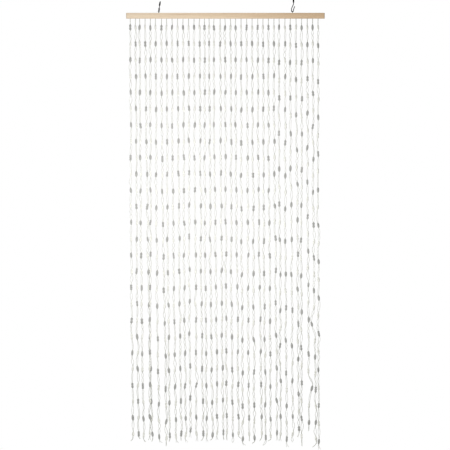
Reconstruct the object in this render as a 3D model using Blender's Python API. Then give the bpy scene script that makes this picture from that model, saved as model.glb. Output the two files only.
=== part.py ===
"""Door curtain: strings of wound yarn pieces under a wooden batten that hangs from two screw hooks.

The frame has its origin at the middle of the batten's top face. X runs to the right along the batten,
Y away from the viewer and Z up. Each string is a pair of thin cotton cords that a wound piece of yarn
gathers at even steps. It is one strand of three sides here, thin between the pieces and thick at them.
"""

import math
import random
from typing import NamedTuple

import bmesh
import bpy
from mathutils import Matrix, Vector

MM = 0.001
GAP = 0.3 * MM

# Batten
BATTEN_LENGTH = 900 * MM
BATTEN_DEPTH = 12 * MM
BATTEN_HEIGHT = 25 * MM
BATTEN_END_RADIUS = 5 * MM
BATTEN_END_STEPS = 2

# Heading strips, which lie in a groove along the batten's underside
GROOVE_WIDTH = 5 * MM
GROOVE_HEIGHT = 4 * MM
STRIP_THICKNESS = 3 * MM
STRIP_MARGIN = 8 * MM
ROOT_DEPTH = 1 * MM

# Strings
STRAND_SIDES = 3
CORD_RADIUS = 2.0 * MM
PIECE_RADIUS = 5.8 * MM
PIECE_LENGTH = 26 * MM
FIRST_PIECE = 66 * MM
PIECES = 26
DRIFT_POWER = 1.4
SEED = 36

# Screw eyes
EYE_RISE = 1.6 * MM
EYE_WIRE_RADIUS = 0.85 * MM
EYE_INNER_RADIUS = 2.5 * MM
EYE_STEPS = 8
EYE_WIRE_SIDES = 5
EYE_SHANK_RADIUS = 1.4 * MM
EYE_SHANK_LENGTH = 14 * MM
EYE_SIDES = 6
EYE_HOLE_RADIUS = 1.75 * MM
EYE_HOLE_DEPTH = 15 * MM

# Screw hooks
HOOK_WIRE_RADIUS = 1.9 * MM
HOOK_PLAY = 0.4 * MM
HOOK_BOW_RADIUS = 4.7 * MM
BOW_POINTS = 7
THREAD_START = 42 * MM
THREAD_PITCH = 4 * MM
THREAD_TURNS = 4
THREAD_CORE = 1.8
THREAD_CREST = 2.15
HOOK_LENGTH = 64 * MM


class StringRow(NamedTuple):
    """One string, in millimetres, with its places measured at the middles of its pieces.

    head and foot are X under the batten and at the last piece, back is how far the foot stands behind
    the batten's middle, last is how far the last piece hangs below the batten's top, and aside and tail
    are the way from that piece to the tail's tip, sideways and down.
    """

    head: float
    foot: float
    back: float
    last: float
    aside: float
    tail: float
    pieces: int = PIECES


class Kink(NamedTuple):
    """A piece that stands out sideways from its string, in millimetres, with its lean in degrees."""

    string: int
    piece: int
    aside: float
    lean: float


class Hanging(NamedTuple):
    """One hook with its eye.

    x is its place along the batten, turn and lean are its angles about Z and Y in degrees, and reach is the
    share of the full height between the hook's bow and its thread: the left hook is shorter there.
    """

    name: str
    x: float
    turn: float
    lean: float
    reach: float


STRINGS = (
    StringRow(-431, -418, -1, 1908, -10, 32),
    StringRow(-407, -393, 2, 1908, 6, 23),
    StringRow(-389, -370, -2, 1912, 7, 32),
    StringRow(-364, -331, 9, 1910, -3, 34),
    StringRow(-340, -342, -9, 1903, -2, 32),
    StringRow(-317, -300, 2, 1921, 9, 28),
    StringRow(-290, -267, -2, 1926, -1, 36),
    StringRow(-267, -252, 3, 1915, -3, 27),
    StringRow(-242, -224, -1, 1917, 6, 32),
    StringRow(-217, -200, 2, 1906, -1, 32),
    StringRow(-192, -179, -2, 1910, 4, 36),
    StringRow(-167, -158, 1, 1890, -2, 34),
    StringRow(-142, -131, -1, 1906, 2, 36),
    StringRow(-117, -100, 4, 1906, -10, 34),
    StringRow(-95, -84, -4, 1910, 1, 34),
    StringRow(-74, -58, 2, 1912, -10, 25),
    StringRow(-52, -37, -1, 1901, -1, 34),
    StringRow(-24, -9, 2, 1901, 2, 34),
    StringRow(-2, 7, -2, 1897, 0, 38),
    StringRow(23, 34, 2, 1912, -1, 36),
    StringRow(46, 60, -2, 1903, 10, 25),
    StringRow(71, 79, 2, 1931, 8, 30),
    StringRow(96, 108, -1, 1908, 0, 32),
    StringRow(121, 132, 1, 1926, -9, 25),
    StringRow(146, 165, -3, 1903, -9, 36),
    StringRow(170, 183, 3, 1924, -11, 36),
    StringRow(195, 205, -1, 1915, -10, 25),
    StringRow(220, 234, 3, 1903, 1, 36),
    StringRow(243, 250, -3, 1908, -2, 32, 24),
    StringRow(270, 278, 1, 1931, 4, 38),
    StringRow(294, 305, -1, 1908, -1, 36, 24),
    StringRow(320, 334, 7, 1885, -6, 38, 24),
    StringRow(345, 345, -7, 1917, 2, 45, 24),
    StringRow(371, 379, 1, 1856, -2, 38, 24),
    StringRow(395, 411, 4, 1931, -15, 38),
    StringRow(420, 423, -4, 1942, 4, 36, 24),
)

KINKS = (
    Kink(33, 21, 14, 20),
    Kink(34, 18, -11, -15),
)

HALVES = (
    ("strings_left", range(0, 18)),
    ("strings_right", range(18, 36)),
)

HANGINGS = (
    Hanging("left", -302 * MM, 112, 10, 0.62),
    Hanging("right", 304 * MM, 0, 0, 1),
)


def linear(red: int, green: int, blue: int) -> tuple[float, float, float, float]:
    """Turn a colour of the photograph, in steps of 255, into linear values."""
    return tuple(((c / 255 + 0.055) / 1.055) ** 2.4 for c in (red, green, blue)) + (1.0,)


def make_material(name: str, colour: tuple, roughness: float, metallic: float = 0.0) -> bpy.types.Material:
    """Make a plain finish."""
    material = bpy.data.materials.new(name)
    material.use_nodes = True
    shader = material.node_tree.nodes["Principled BSDF"]
    shader.inputs["Base Color"].default_value = colour
    shader.inputs["Roughness"].default_value = roughness
    shader.inputs["Metallic"].default_value = metallic
    return material


def add_object(name: str, bm: bmesh.types.BMesh, *materials: bpy.types.Material) -> bpy.types.Object:
    """Link a finished bmesh to the scene as a new object."""
    bmesh.ops.recalc_face_normals(bm, faces=bm.faces)
    mesh = bpy.data.meshes.new(name)
    bm.to_mesh(mesh)
    bm.free()
    for material in materials:
        mesh.materials.append(material)
    shown = bpy.data.objects.new(name, mesh)
    bpy.context.scene.collection.objects.link(shown)
    return shown


def join_solid(target: bpy.types.Object, tool: bpy.types.Object, operation: str) -> None:
    """Cut a hidden solid out of a piece, or unite it with the piece."""
    tool.hide_render = True
    tool.display_type = "WIRE"
    modifier = target.modifiers.new(operation.title(), "BOOLEAN")
    modifier.operation = operation
    modifier.solver = "EXACT"
    modifier.object = tool


def add_box(bm: bmesh.types.BMesh, low: tuple, high: tuple) -> list:
    """Add a box between two corners and return its vertices."""
    size = Vector(high) - Vector(low)
    middle = (Vector(high) + Vector(low)) / 2
    place = Matrix.Translation(middle) @ Matrix.Diagonal(size).to_4x4()
    return bmesh.ops.create_cube(bm, size=1, matrix=place)["verts"]


def strip_ends(strings: range) -> tuple[float, float]:
    """Work out where a half's heading strip begins and ends along the batten."""

    def end(inner: int, outer: int, side: int) -> float:
        if not 0 <= outer < len(STRINGS):
            return STRINGS[inner].head * MM + side * STRIP_MARGIN
        return (STRINGS[inner].head + STRINGS[outer].head) * MM / 2 - side * GAP / 2

    return end(strings[0], strings[0] - 1, -1), end(strings[-1], strings[-1] + 1, 1)


def make_batten(wood: bpy.types.Material) -> bpy.types.Object:
    """Make the batten with rounded ends, the strips' groove and a blind hole for each eye."""
    half_length, half_depth = BATTEN_LENGTH / 2, BATTEN_DEPTH / 2
    bm = bmesh.new()
    add_box(bm, (-half_length, -half_depth, -BATTEN_HEIGHT), (half_length, half_depth, 0))
    upright = [e for e in bm.edges if abs(e.verts[0].co.z - e.verts[1].co.z) > BATTEN_HEIGHT / 2]
    bmesh.ops.bevel(
        bm, geom=upright, offset=BATTEN_END_RADIUS, segments=BATTEN_END_STEPS, profile=0.5, affect="EDGES"
    )
    batten = add_object("batten", bm, wood)

    left, right = strip_ends(HALVES[0][1])[0], strip_ends(HALVES[1][1])[1]
    cut = bmesh.new()
    add_box(
        cut,
        (left - GAP, -GROOVE_WIDTH / 2, -BATTEN_HEIGHT - 1 * MM),
        (right + GAP, GROOVE_WIDTH / 2, -BATTEN_HEIGHT + GROOVE_HEIGHT),
    )
    for hanging in HANGINGS:
        turn = Matrix.Rotation(math.radians(hanging.turn), 4, "Z")
        bmesh.ops.create_cone(
            cut,
            cap_ends=True,
            segments=EYE_SIDES,
            radius1=EYE_HOLE_RADIUS,
            radius2=EYE_HOLE_RADIUS,
            depth=2 * EYE_HOLE_DEPTH,
            matrix=Matrix.Translation((hanging.x, 0, 0)) @ turn,
        )
    join_solid(batten, add_object("batten_cuts", cut, wood), "DIFFERENCE")
    return batten


def piece_sections(number: int, row: StringRow) -> list[tuple[Vector, float, bool]]:
    """List a string's sections below its root: the middle, the radius, and whether a grey piece ends there."""
    chance = random.Random(SEED * 100 + number)
    phase = chance.uniform(0, 2 * math.pi)
    kinks = {kink.piece: kink for kink in KINKS if kink.string == number}
    sections = []
    for piece in range(row.pieces):
        along = piece / (row.pieces - 1)
        calm = 1 - along**6
        sway = 1.5 * math.sin(phase + 5 * along) + chance.uniform(-1, 1) * (1.6 + 1.2 * along)
        x = row.head + (row.foot - row.head) * along**DRIFT_POWER + sway * min(calm, 1 - (1 - along) ** 8)
        y = row.back * along + chance.uniform(-1.5, 1.5) * calm
        z = -(FIRST_PIECE / MM + (row.last - FIRST_PIECE / MM) * along) + chance.uniform(-2.2, 2.2) * calm
        lean = chance.gauss(0, 3.0 + 2.5 * along)
        if piece in kinks:
            x += kinks[piece].aside
            lean = kinks[piece].lean
        half = PIECE_LENGTH / 2 * chance.uniform(0.9, 1.08)
        lean = math.radians(max(-14.0, min(14.0, lean)))
        axis = Vector((math.sin(lean), 0, math.cos(lean))) * half
        middle = Vector((x, y, z)) * MM
        grey = (piece + number) % 2 == 0
        sections.append((middle + axis, CORD_RADIUS, False))
        sections.append((middle, PIECE_RADIUS, grey))
        sections.append((middle - axis, CORD_RADIUS, grey))
    return sections


def add_strand(bm: bmesh.types.BMesh, number: int, row: StringRow) -> None:
    """Extrude one string from its root in the strip to the tip of its tail."""
    root = Vector((row.head * MM, 0, strip_bottom() + ROOT_DEPTH))
    corners = [
        Vector((math.sin(turn), -math.cos(turn), 0))
        for turn in (2 * math.pi * side / STRAND_SIDES for side in range(STRAND_SIDES))
    ]
    ring = [bm.verts.new(root + corner * CORD_RADIUS) for corner in corners]
    bm.faces.new(ring)
    edges = [bm.edges.get((ring[i], ring[i - 1])) for i in range(STRAND_SIDES)]
    middle = root
    radius = CORD_RADIUS

    def extrude(new_middle: Vector, new_radius: float, slot: int) -> list:
        """Carry the open ring on to a new middle and size, and return its new vertices."""
        nonlocal edges, middle, radius
        made = bmesh.ops.extrude_edge_only(bm, edges=edges)["geom"]
        verts = [part for part in made if isinstance(part, bmesh.types.BMVert)]
        edges = [part for part in made if isinstance(part, bmesh.types.BMEdge)]
        edges = [edge for edge in edges if all(vert in verts for vert in edge.verts)]
        for face in (part for part in made if isinstance(part, bmesh.types.BMFace)):
            face.material_index = slot
        for vert in verts:
            vert.co = new_middle + (vert.co - middle) * (new_radius / radius)
        middle, radius = new_middle, new_radius
        return verts

    for new_middle, new_radius, grey in piece_sections(number, row):
        extrude(new_middle, new_radius, 1 if grey else 0)
    tip = Vector((row.foot + row.aside, row.back, -row.last - row.tail)) * MM
    bmesh.ops.pointmerge(bm, verts=extrude(tip, CORD_RADIUS, 0), merge_co=tip)


def strip_bottom() -> float:
    """Height of the heading strips' underside."""
    return -BATTEN_HEIGHT + GROOVE_HEIGHT - GAP - STRIP_THICKNESS


def make_strings(name: str, strings: range, ivory: bpy.types.Material, grey: bpy.types.Material) -> None:
    """Make one heading strip with its strings fused to it by their roots."""
    left, right = strip_ends(strings)
    half_width = GROOVE_WIDTH / 2 - GAP
    bm = bmesh.new()
    add_box(bm, (left, -half_width, strip_bottom()), (right, half_width, strip_bottom() + STRIP_THICKNESS))
    strip = add_object(name, bm, ivory, grey)

    strands = bmesh.new()
    for number in strings:
        add_strand(strands, number, STRINGS[number])
    join_solid(strip, add_object(name + "_strands", strands, ivory, grey), "UNION")


def eye_middle() -> float:
    """Height of the middle of an eye's ring, which its shank holds clear of the batten."""
    return EYE_RISE + 2 * EYE_WIRE_RADIUS + EYE_INNER_RADIUS


def hook_bottom() -> float:
    """Height of the hook's wire where it bears under the top of the eye."""
    flat = EYE_INNER_RADIUS * math.cos(math.pi / EYE_STEPS)
    return eye_middle() + flat - HOOK_PLAY - HOOK_WIRE_RADIUS


def make_eye(hanging: Hanging, parent: bpy.types.Object, steel: bpy.types.Material) -> None:
    """Make a screw eye: a ring across the hook's wire, on a pointed shank in the batten."""
    bm = bmesh.new()
    swing = EYE_INNER_RADIUS + EYE_WIRE_RADIUS
    profile = bmesh.ops.create_circle(
        bm,
        segments=EYE_WIRE_SIDES,
        radius=EYE_WIRE_RADIUS,
        matrix=Matrix.Translation((0, swing, 0)),
    )["verts"]
    bmesh.ops.spin(
        bm,
        geom=profile + list(bm.edges),
        cent=(0, 0, 0),
        axis=(1, 0, 0),
        angle=2 * math.pi,
        steps=EYE_STEPS,
        use_merge=True,
    )
    bmesh.ops.remove_doubles(bm, verts=bm.verts, dist=0.001 * MM)
    bmesh.ops.translate(bm, verts=bm.verts, vec=(0, 0, eye_middle()))
    ring = add_object("screw_eye_" + hanging.name, bm, steel)
    ring.parent = parent

    shank = bmesh.new()
    top = EYE_RISE + EYE_WIRE_RADIUS
    bmesh.ops.create_cone(
        shank,
        cap_ends=True,
        segments=EYE_SIDES,
        radius1=EYE_SHANK_RADIUS / 4,
        radius2=EYE_SHANK_RADIUS,
        depth=EYE_SHANK_LENGTH,
        matrix=Matrix.Translation((0, 0, top - EYE_SHANK_LENGTH / 2)),
    )
    tool = add_object("shank_" + hanging.name, shank, steel)
    tool.parent = parent
    join_solid(ring, tool, "UNION")


def hook_route() -> list[tuple[float, float, float]]:
    """List the points along a hook from its open end: across, up and the share of the wire's radius."""
    route = [(9.8 * MM, 24 * MM, 0.8), (9.2 * MM, 20.5 * MM, 1), (6.9 * MM, 16 * MM, 1), (5.2 * MM, 11 * MM, 1)]
    for step in range(BOW_POINTS):
        turn = math.radians(18 - 216 * step / (BOW_POINTS - 1))
        across = HOOK_BOW_RADIUS * math.cos(turn)
        up = HOOK_BOW_RADIUS * (1 + math.sin(turn))
        route.append((across, up, 1))
    route += [(-4.5 * MM, 11.5 * MM, 1), (-3.5 * MM, 16 * MM, 1), (0.5 * MM, 25 * MM, 1), (4.2 * MM, 34 * MM, 1)]
    shank = 4.6 * MM
    route.append((shank, THREAD_START - 1.5 * MM, 1))
    for turn in range(THREAD_TURNS):
        route.append((shank, THREAD_START + turn * THREAD_PITCH, THREAD_CORE))
        route.append((shank, THREAD_START + (turn + 0.5) * THREAD_PITCH, THREAD_CREST))
    route.append((shank, THREAD_START + THREAD_TURNS * THREAD_PITCH, 1.6))
    route.append((shank, HOOK_LENGTH, 0.3))
    return route


def lowered(up: float, reach: float) -> float:
    """Lower a height on a hook by what it is short of between its bow and its thread."""
    passed = min(max(up, HOOK_BOW_RADIUS), THREAD_START) - HOOK_BOW_RADIUS
    return up - passed * (1 - reach)


def make_hook(hanging: Hanging, steel: bpy.types.Material) -> None:
    """Make a screw hook: a bent wire with a thread and a point at its upper end."""
    curve = bpy.data.curves.new("screw_hook_" + hanging.name, "CURVE")
    curve.dimensions = "3D"
    curve.bevel_depth = HOOK_WIRE_RADIUS
    curve.bevel_resolution = 1
    curve.use_fill_caps = True
    route = hook_route()
    spline = curve.splines.new("POLY")
    spline.points.add(len(route) - 1)
    for point, (across, up, share) in zip(spline.points, route):
        point.co = (across, 0, lowered(up, hanging.reach), 1)
        point.radius = share
    curve.materials.append(steel)
    hook = bpy.data.objects.new(curve.name, curve)
    bpy.context.scene.collection.objects.link(hook)
    hook.location = (hanging.x, 0, hook_bottom())
    hook.rotation_mode = "ZYX"
    hook.rotation_euler = (0, math.radians(hanging.lean), math.radians(hanging.turn))


def build() -> None:
    """Build the whole door curtain."""
    for old in list(bpy.data.objects):
        bpy.data.objects.remove(old)
    wood = make_material("light_pine", linear(214, 190, 160), 0.6)
    ivory = make_material("ivory_cotton", linear(236, 233, 222), 0.9)
    grey = make_material("grey_yarn", linear(160, 158, 152), 0.9)
    steel = make_material("dark_steel", linear(84, 83, 80), 0.4, 1.0)

    make_batten(wood)
    for name, strings in HALVES:
        make_strings(name, strings, ivory, grey)
    for hanging in HANGINGS:
        parent = bpy.data.objects.new("hanging_" + hanging.name, None)
        bpy.context.scene.collection.objects.link(parent)
        parent.location = (hanging.x, 0, 0)
        parent.rotation_euler = (0, 0, math.radians(hanging.turn))
        make_eye(hanging, parent, steel)
        make_hook(hanging, steel)


build()
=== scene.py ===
"""Looks of a door curtain: strings of wound yarn pieces under a pine batten on two screw hooks.

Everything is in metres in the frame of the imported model: X runs to the right along the batten, Y away from
the viewer and Z up, from the middle of the batten's top face. Each string is a pair of thin cotton cords.
A piece of yarn is wound round the pair at even steps, grey and ivory by turns. Between the pieces the cords
run side by side, spread into an eye or share a small knot, and below the last piece they end in a tail.
"""

from __future__ import annotations

import logging
import math
import random
from dataclasses import dataclass, field
from enum import Enum
from typing import NamedTuple

import bmesh
import bpy
from mathutils import Matrix, Vector

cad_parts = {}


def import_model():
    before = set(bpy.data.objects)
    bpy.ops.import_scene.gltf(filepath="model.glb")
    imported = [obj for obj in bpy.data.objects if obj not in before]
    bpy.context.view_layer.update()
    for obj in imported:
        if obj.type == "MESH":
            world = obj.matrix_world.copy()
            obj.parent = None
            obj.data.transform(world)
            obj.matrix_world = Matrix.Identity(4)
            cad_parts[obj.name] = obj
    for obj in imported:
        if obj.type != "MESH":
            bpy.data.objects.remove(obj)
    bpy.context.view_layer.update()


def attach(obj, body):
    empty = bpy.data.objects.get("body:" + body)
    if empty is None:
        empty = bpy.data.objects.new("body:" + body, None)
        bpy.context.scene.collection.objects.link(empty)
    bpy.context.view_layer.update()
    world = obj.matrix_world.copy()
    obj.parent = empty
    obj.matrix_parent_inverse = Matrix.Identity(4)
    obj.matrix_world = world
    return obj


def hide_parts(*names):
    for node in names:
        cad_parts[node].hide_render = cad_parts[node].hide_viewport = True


LOG = logging.getLogger("door_curtain")
MM = 0.001
FULL_TURN = 2 * math.pi
Z_AXIS = Vector((0, 0, 1))
WHITE = (1, 1, 1, 1)
WAVE_STEP = 0.314  # The repeat of a wave texture with a scale of 1, in metres
SEAM = 0.01 * MM  # Points closer than this are one

Colour = tuple[float, float, float, float]
Triple = tuple[float, float, float]
Span = tuple[float, float]
Sockets = dict[int | str, object]


class Tail(Enum):
    """How the two cords end below the last piece."""

    BENT = "both cords turn aside together"
    FORKED = "the cords part"
    LOOPED = "the cords part and meet again in a ring"


class GapForm(NamedTuple):
    """What a kind of gap is like.

    limit is the draw from 0 to 1 below which it is chosen, spread is the least and the most that each cord
    stands aside in it, and with a power under 1 the cords part sooner.
    """

    limit: float
    spread: Span
    power: float


class Gap(Enum):
    """How the two cords run between two pieces: round an eye, held by a knot, or side by side."""

    EYE = GapForm(0.4, (3.4 * MM, 5.4 * MM), 1.0)
    KNOT = GapForm(0.7, (2.8 * MM, 4.4 * MM), 1.3)
    PLAIN = GapForm(1.0, (1.8 * MM, 3.8 * MM), 0.6)

    def parting(self, share: float, middle: float, width: float) -> float:
        """Say how far the cords are parted at one place in the gap.

        Args:
            share: The place's share of the way down.
            middle: The share at which an eye is widest.
            width: Half of an eye's length, as a share of the gap's.

        Returns:
            The share of the gap's full spread.
        """
        if self is Gap.EYE:
            parting = math.cos(math.pi / 2 * min(1.0, abs(share - middle) / width))
        elif self is Gap.KNOT:
            parting = abs(math.sin(FULL_TURN * share))
        else:
            parting = math.sin(math.pi * share)
        return max(0.0, parting) ** self.value.power


class Wound(Enum):
    """The outline of a wound piece, as radius and height pairs from its upper to its lower end."""

    SPINDLE = (
        (0.30, 1.0), (0.52, 0.9), (0.80, 0.66), (0.97, 0.3), (1.0, 0.0),
        (0.96, -0.32), (0.78, -0.68), (0.5, -0.9), (0.3, -1.0),
    )
    WAISTED = (
        (0.32, 1.0), (0.66, 0.88), (0.98, 0.6), (0.96, 0.3), (0.66, 0.02),
        (0.95, -0.28), (1.0, -0.58), (0.68, -0.88), (0.3, -1.0),
    )
    BANDED = (
        (0.35, 1.0), (0.85, 0.86), (0.92, 0.52), (0.66, 0.34), (1.0, 0.0),
        (0.68, -0.32), (0.94, -0.54), (0.8, -0.86), (0.32, -1.0),
    )


class StringRow(NamedTuple):
    """One string, in millimetres, with its places measured at the middles of its pieces.

    head and foot are X under the batten and at the last piece, back is how far the foot stands behind
    the batten's middle, last is how far the last piece hangs below the batten's top, and aside and drop
    are the way from that piece to the tail's tip, sideways and down.
    """

    head: float
    foot: float
    back: float
    last: float
    aside: float
    drop: float
    tail: Tail = Tail.BENT
    pieces: int = 26


class Kink(NamedTuple):
    """A piece that stands out sideways from its string, in millimetres, with its lean in degrees."""

    string: int
    piece: int
    aside: float
    lean: float


class Hanging(NamedTuple):
    """One hook with its eye.

    x is its place along the batten, turn and lean are its angles about Z and Y in degrees, and reach is the
    share of the full height between the hook's bow and its thread: the left hook is shorter there.
    """

    name: str
    x: float
    turn: float
    lean: float
    reach: float


STRINGS = (
    StringRow(-431, -418, -1, 1908, -10, 32),
    StringRow(-407, -393, 2, 1908, 6, 23),
    StringRow(-389, -370, -2, 1912, 7, 32),
    StringRow(-364, -331, 9, 1910, -3, 34),
    StringRow(-340, -342, -9, 1903, -2, 32, Tail.FORKED),
    StringRow(-317, -300, 2, 1921, 9, 28, Tail.FORKED),
    StringRow(-290, -267, -2, 1926, -1, 36),
    StringRow(-267, -252, 3, 1915, -3, 27),
    StringRow(-242, -224, -1, 1917, 6, 32, Tail.FORKED),
    StringRow(-217, -200, 2, 1906, -1, 32),
    StringRow(-192, -179, -2, 1910, 4, 36, Tail.FORKED),
    StringRow(-167, -158, 1, 1890, -2, 34, Tail.FORKED),
    StringRow(-142, -131, -1, 1906, 2, 36, Tail.FORKED),
    StringRow(-117, -100, 4, 1906, -10, 34),
    StringRow(-95, -84, -4, 1910, 1, 34, Tail.FORKED),
    StringRow(-74, -58, 2, 1912, -10, 25),
    StringRow(-52, -37, -1, 1901, -1, 34, Tail.FORKED),
    StringRow(-24, -9, 2, 1901, 2, 34),
    StringRow(-2, 7, -2, 1897, 0, 38),
    StringRow(23, 34, 2, 1912, -1, 36, Tail.LOOPED),
    StringRow(46, 60, -2, 1903, 10, 25),
    StringRow(71, 79, 2, 1931, 8, 30, Tail.FORKED),
    StringRow(96, 108, -1, 1908, 0, 32),
    StringRow(121, 132, 1, 1926, -9, 25),
    StringRow(146, 165, -3, 1903, -9, 36),
    StringRow(170, 183, 3, 1924, -11, 36, Tail.LOOPED),
    StringRow(195, 205, -1, 1915, -10, 25),
    StringRow(220, 234, 3, 1903, 1, 36, Tail.FORKED),
    StringRow(243, 250, -3, 1908, -2, 32, Tail.FORKED, 24),
    StringRow(270, 278, 1, 1931, 4, 38, Tail.FORKED),
    StringRow(294, 305, -1, 1908, -1, 36, Tail.LOOPED, 24),
    StringRow(320, 334, 7, 1885, -6, 38, Tail.BENT, 24),
    StringRow(345, 345, -7, 1917, 2, 45, Tail.BENT, 24),
    StringRow(371, 379, 1, 1856, -2, 38, Tail.BENT, 24),
    StringRow(395, 411, 4, 1931, -15, 38),
    StringRow(420, 423, -4, 1942, 4, 36, Tail.FORKED, 24),
)

MIDDLE = len(STRINGS) // 2

HALVES = {
    "left": range(MIDDLE),
    "right": range(MIDDLE, len(STRINGS)),
}

KINKS = (
    Kink(33, 21, 14, 20),
    Kink(34, 18, -11, -15),
)

HANGINGS = (
    Hanging("left", -302 * MM, 112, 10, 0.62),
    Hanging("right", 304 * MM, 0, 0, 1),
)


class Spots(NamedTuple):
    """A noise pattern: spots in each metre along X, Y and Z, finer layers, and how far it is swirled."""

    scale: Triple
    layers: float = 2.0
    swirl: float = 0.0


class Channel:
    """A socket that carries a value, so that shader sums can be written as expressions."""

    def __init__(self, graph: Graph, socket: bpy.types.NodeSocket) -> None:
        """Wrap one output socket."""
        self.graph = graph
        self.socket = socket

    def _math(self, operation: str, *values: Channel | float) -> Channel:
        """Add one Math node."""
        return self.graph.add("ShaderNodeMath", dict(enumerate(values)), operation=operation)

    def __add__(self, other: Channel | float) -> Channel:
        """Add."""
        return self._math("ADD", self, other)

    def __radd__(self, other: float) -> Channel:
        """Add to a number."""
        return self._math("ADD", other, self)

    def __sub__(self, other: Channel | float) -> Channel:
        """Subtract."""
        return self._math("SUBTRACT", self, other)

    def __rsub__(self, other: float) -> Channel:
        """Subtract from a number."""
        return self._math("SUBTRACT", other, self)

    def __mul__(self, other: Channel | float) -> Channel:
        """Multiply."""
        return self._math("MULTIPLY", self, other)

    def __rmul__(self, other: float) -> Channel:
        """Multiply a number."""
        return self._math("MULTIPLY", other, self)

    def sine(self) -> Channel:
        """Take the sine of an angle in radians."""
        return self._math("SINE", self)

    def mixed(self, other: Channel, share: float) -> Channel:
        """Take a share of the value from another one."""
        return self * (1 - share) + other * share

    def axis(self, letter: str) -> Channel:
        """Take one axis of a place."""
        return self.graph.add("ShaderNodeSeparateXYZ", {0: self}, letter)

    def between(self, low: float, high: float) -> Channel:
        """Turn a value into its share of the way from one value to another, held from 0 to 1."""
        return self.graph.add("ShaderNodeMapRange", {"Value": self, "From Min": low, "From Max": high})


class Graph:
    """The node tree of a finish or of the surround."""

    def __init__(self, owner: bpy.types.Material | bpy.types.World) -> None:
        """Start from the nodes of a new material or world.

        Args:
            owner: The material or world.
        """
        self.owner = owner
        self.owner.use_nodes = True
        self.tree = owner.node_tree

    def add(
        self, kind: str, sockets: Sockets | None = None, output: int | str = 0, **settings: object
    ) -> Channel:
        """Add any node.

        Args:
            kind: The node's type.
            sockets: Values or channels for its inputs, by name or number.
            output: The output that is wanted, by name or number.
            **settings: The node's own settings.

        Returns:
            The wanted output.
        """
        node = self.tree.nodes.new(kind)
        for key, value in settings.items():
            setattr(node, key, value)
        for key, value in (sockets or {}).items():
            self.feed(node.inputs[key], value)
        return Channel(self, node.outputs[output])

    def feed(self, socket: bpy.types.NodeSocket, value: object) -> None:
        """Link a channel to an input, or set the input's own value.

        Args:
            socket: The input.
            value: A channel or a plain value.
        """
        if isinstance(value, Channel):
            self.tree.links.new(value.socket, socket)
        else:
            socket.default_value = value

    def dress(self, **inputs: object) -> bpy.types.Material:
        """Set or feed the inputs of the Principled shader, named with _ for each space.

        Args:
            **inputs: Values or channels for them.

        Returns:
            The finished material.
        """
        shader = self.tree.nodes["Principled BSDF"]
        for name, value in inputs.items():
            self.feed(shader.inputs[name.replace("_", " ")], value)
        return self.owner

    def place(self) -> Channel:
        """Give the place in the piece's own frame."""
        return self.add("ShaderNodeTexCoord", output="Object")

    def stretched(self, scale: Triple, turn: Triple = (0, 0, 0)) -> Channel:
        """Give the place turned and stretched.

        Args:
            scale: Repeats in each metre along X, Y and Z.
            turn: The turn about each axis, in degrees.

        Returns:
            The new place.
        """
        angles = tuple(math.radians(angle) for angle in turn)
        return self.add("ShaderNodeMapping", {"Vector": self.place(), "Rotation": angles, "Scale": scale})

    def noise(self, spots: Spots) -> Channel:
        """Give a noise value from 0 to 1.

        Args:
            spots: The pattern.

        Returns:
            The noise.
        """
        sockets = {
            "Vector": self.stretched(spots.scale),
            "Scale": 1.0,
            "Detail": spots.layers,
            "Distortion": spots.swirl,
        }
        return self.add("ShaderNodeTexNoise", sockets, "Fac")

    def bands(self, across: str, turn: Triple = (0, 0, 0), **inputs: float) -> Channel:
        """Give bands of a wave from 0 to 1.

        Args:
            across: The axis on which one band follows another.
            turn: The turn of the bands about each axis, in degrees.
            **inputs: Values for the wave's inputs, named with _ for each space.

        Returns:
            The wave.
        """
        sockets = {name.replace("_", " "): value for name, value in inputs.items()}
        sockets["Vector"] = self.stretched((1, 1, 1), turn)
        return self.add("ShaderNodeTexWave", sockets, "Fac", bands_direction=across)

    def blend(self, factor: Channel, first: Channel | Colour, second: Channel | Colour) -> Channel:
        """Mix two colours.

        Args:
            factor: The share of the second one.
            first: The first colour.
            second: The second colour.

        Returns:
            The mixed colour.
        """
        # The colour sockets share their names with others, so they go by number
        sockets = {0: factor, 6: first, 7: second}
        return self.add("ShaderNodeMix", sockets, 2, data_type="RGBA", clamp_factor=True)

    def relief(self, height: Channel, depth: float) -> Channel:
        """Turn heights from 0 to 1 into a bumped normal, with the depth of a height of 1 in metres."""
        return self.add("ShaderNodeBump", {"Height": height, "Distance": depth}, "Normal")


def tone(red: int, green: int, blue: int) -> Colour:
    """Turn a colour in steps of 255 into linear values."""
    return tuple(((c / 255 + 0.055) / 1.055) ** 2.4 for c in (red, green, blue)) + (1.0,)


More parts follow.
